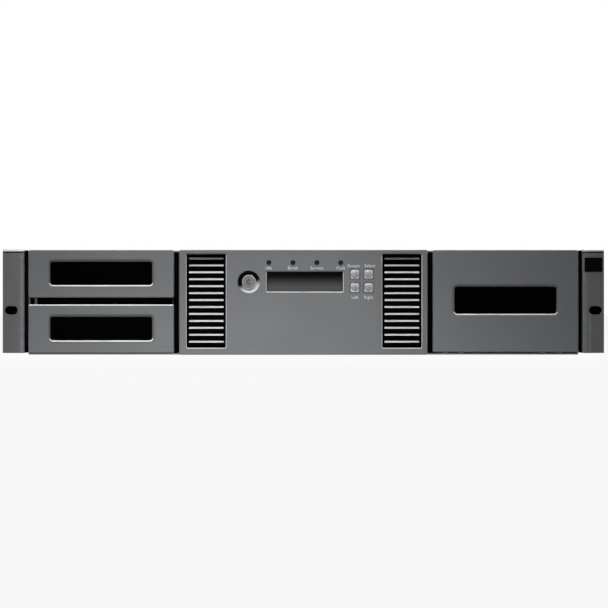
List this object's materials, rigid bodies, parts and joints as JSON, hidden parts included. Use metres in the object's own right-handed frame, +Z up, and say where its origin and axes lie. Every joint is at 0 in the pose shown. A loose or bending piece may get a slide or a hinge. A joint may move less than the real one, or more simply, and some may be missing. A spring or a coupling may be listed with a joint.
{
  "type": "data tape library",
  "caption": "Two-unit rack-mount tape library with pull-out cartridge magazines, a mail slot, a picking robot, stacked tape drives and a central control panel between vent grilles.",
  "frame": {"origin": "centre of the footprint, on the underside of the case", "axes": "+X to the right seen from the front, +Y to the rear, +Z up; the front panels face -Y"},
  "size_m": [0.479, 0.765, 0.0839],
  "materials": {
    "case": "satin painted sheet steel",
    "bare_steel": "zinc-plated sheet steel",
    "screws": "nickel-plated steel",
    "front_paint": "satin metallic grey paint on mouldings",
    "ear_paint": "satin metallic grey paint",
    "black_plastic": "matt black",
    "display": "clear dark window",
    "display_module": "frame and glass of the display",
    "light_pipes": "smoked clear plastic",
    "circuit_board": "green solder mask",
    "silver_keys": "silver painted caps",
    "button": "satin metallic grey",
    "rail_plastic": "natural acetal",
    "magazine_plastic": "dark grey glass-filled plastic",
    "magazine_sheet": "dark grey coated sheet",
    "latch_brass": "passivated",
    "solenoid": "wound coil in a black frame",
    "ground_steel": "ground rods",
    "robot_sheet": "brushed sheet",
    "motor": "black motor can",
    "tray_plastic": "light grey low-friction plastic",
    "gripper_plastic": "black moulded fingers",
    "sled_steel": "folded plated steel",
    "drive_case": "dark grey",
    "connector_shell": "plated shells",
    "psu_case": "plated steel",
    "fan_plastic": "black"
  },
  "bodies": {
    "chassis": {"base_pan": "case", "left_side_panel": "case", "right_side_panel": "case", "top_cover": "case", "rear_panel": "case", "front_bulkhead": "bare_steel", "case_screws": "screws", "left_rack_ear": "ear_paint", "right_rack_ear": "ear_paint", "badge_plate": "black_plastic", "centre_bezel": "front_paint", "left_vent_grille": "front_paint", "right_vent_grille": "front_paint", "lcd_window": "display", "lcd_module": "display_module", "status_leds": "light_pipes", "control_board": "circuit_board", "magazine_guides": "rail_plastic", "latch_solenoids": "solenoid", "robot_rails": "ground_steel", "robot_rack": "rail_plastic", "drive_sleds": "sled_steel", "tape_drives": "drive_case", "drive_connectors": "connector_shell", "thumbscrews": "screws", "power_supply": "psu_case", "power_inlet": "black_plastic", "controller_card": "circuit_board", "controller_ports": "connector_shell"},
    "power_button": {"power_button": "button"},
    "cancel_key": {"key_cancel": "silver_keys"},
    "enter_key": {"key_enter": "silver_keys"},
    "previous_key": {"key_previous": "silver_keys"},
    "next_key": {"key_next": "silver_keys"},
    "left_magazine": {"left_magazine_front": "front_paint", "left_magazine_base": "magazine_plastic", "left_magazine_shell": "magazine_sheet", "left_magazine_dividers": "magazine_plastic", "left_magazine_shelves": "magazine_plastic"},
    "mail_slot": {"mail_slot_front": "front_paint", "mail_slot_tray": "magazine_plastic"},
    "right_magazine": {"right_magazine_front": "front_paint", "right_magazine_base": "magazine_plastic", "right_magazine_shell": "magazine_sheet", "right_magazine_dividers": "magazine_plastic", "right_magazine_shelves": "magazine_plastic"},
    "left_latch": {"left_magazine_latch": "latch_brass"},
    "right_latch": {"right_magazine_latch": "latch_brass"},
    "robot_carriage": {"robot_carriage": "robot_sheet", "lift_posts": "ground_steel", "travel_motor": "motor", "lift_motor": "motor"},
    "travel_pinion": {"travel_pinion": "rail_plastic"},
    "lift_screw": {"lift_screw": "ground_steel"},
    "lift_platform": {"lift_platform": "robot_sheet"},
    "picker_tray": {"picker_tray": "tray_plastic", "barcode_reader": "black_plastic"},
    "gripper": {"gripper": "gripper_plastic"},
    "fan_rotor": {"fan_rotor": "fan_plastic"}
  },
  "joints": [
    {"name": "left_magazine_slide", "type": "slide", "parent": "chassis", "child": "left_magazine", "axis": [0, -1, 0], "range_m": [0, 0.4]},
    {"name": "right_magazine_slide", "type": "slide", "parent": "chassis", "child": "right_magazine", "axis": [0, -1, 0], "range_m": [0, 0.4]},
    {"name": "mail_slot_slide", "type": "slide", "parent": "left_magazine", "child": "mail_slot", "axis": [0, -1, 0], "range_m": [0, 0.125]},
    {"name": "power_press", "type": "slide", "parent": "chassis", "child": "power_button", "axis": [0, 1, 0], "range_m": [0, 0.0012], "stiffness_N_per_m": 900},
    {"name": "cancel_press", "type": "slide", "parent": "chassis", "child": "cancel_key", "axis": [0, 1, 0], "range_m": [0, 0.001], "stiffness_N_per_m": 800},
    {"name": "enter_press", "type": "slide", "parent": "chassis", "child": "enter_key", "axis": [0, 1, 0], "range_m": [0, 0.001], "stiffness_N_per_m": 800},
    {"name": "previous_press", "type": "slide", "parent": "chassis", "child": "previous_key", "axis": [0, 1, 0], "range_m": [0, 0.001], "stiffness_N_per_m": 800},
    {"name": "next_press", "type": "slide", "parent": "chassis", "child": "next_key", "axis": [0, 1, 0], "range_m": [0, 0.001], "stiffness_N_per_m": 800},
    {"name": "robot_travel", "type": "slide", "parent": "chassis", "child": "robot_carriage", "axis": [0, 1, 0], "range_m": [-0.324, 0]},
    {"name": "pinion_spin", "type": "hinge", "parent": "robot_carriage", "child": "travel_pinion", "pos_m": [0.07, -0.0228, 0.0027], "axis": [0, 0, 1], "range_deg": [-2400, 2400]},
    {"name": "lift_travel", "type": "slide", "parent": "robot_carriage", "child": "lift_platform", "axis": [0, 0, 1], "range_m": [0, 0.0482]},
    {"name": "lift_screw_spin", "type": "hinge", "parent": "robot_carriage", "child": "lift_screw", "pos_m": [-0.086, 0.1222, 0.04], "axis": [0, 0, 1], "range_deg": [-1500, 1500]},
    {"name": "tray_turn", "type": "hinge", "parent": "lift_platform", "child": "picker_tray", "pos_m": [0, 0.0482, 0.007], "axis": [0, 0, 1], "range_deg": [-90, 90]},
    {"name": "gripper_reach", "type": "slide", "parent": "picker_tray", "child": "gripper", "axis": [0, 1, 0], "range_m": [0, 0.044]},
    {"name": "left_latch_drop", "type": "hinge", "parent": "chassis", "child": "left_latch", "pos_m": [-0.16, 0.1372, 0.018], "axis": [1, 0, 0], "range_deg": [0, 10], "stiffness_Nm_per_rad": 0.3, "springref_deg": -2.86},
    {"name": "right_latch_drop", "type": "hinge", "parent": "chassis", "child": "right_latch", "pos_m": [0.16, 0.1372, 0.018], "axis": [1, 0, 0], "range_deg": [0, 10], "stiffness_Nm_per_rad": 0.3, "springref_deg": -2.86},
    {"name": "fan_spin", "type": "hinge", "parent": "chassis", "child": "fan_rotor", "pos_m": [0.19, 0.3602, 0.02175], "axis": [0, 1, 0], "continuous": true}
  ],
  "couplings": [
    {"joint": "pinion_spin", "follows": "robot_travel", "rad_per_m": -125},
    {"joint": "lift_screw_spin", "follows": "lift_travel", "rad_per_m": 523.6}
  ]
}
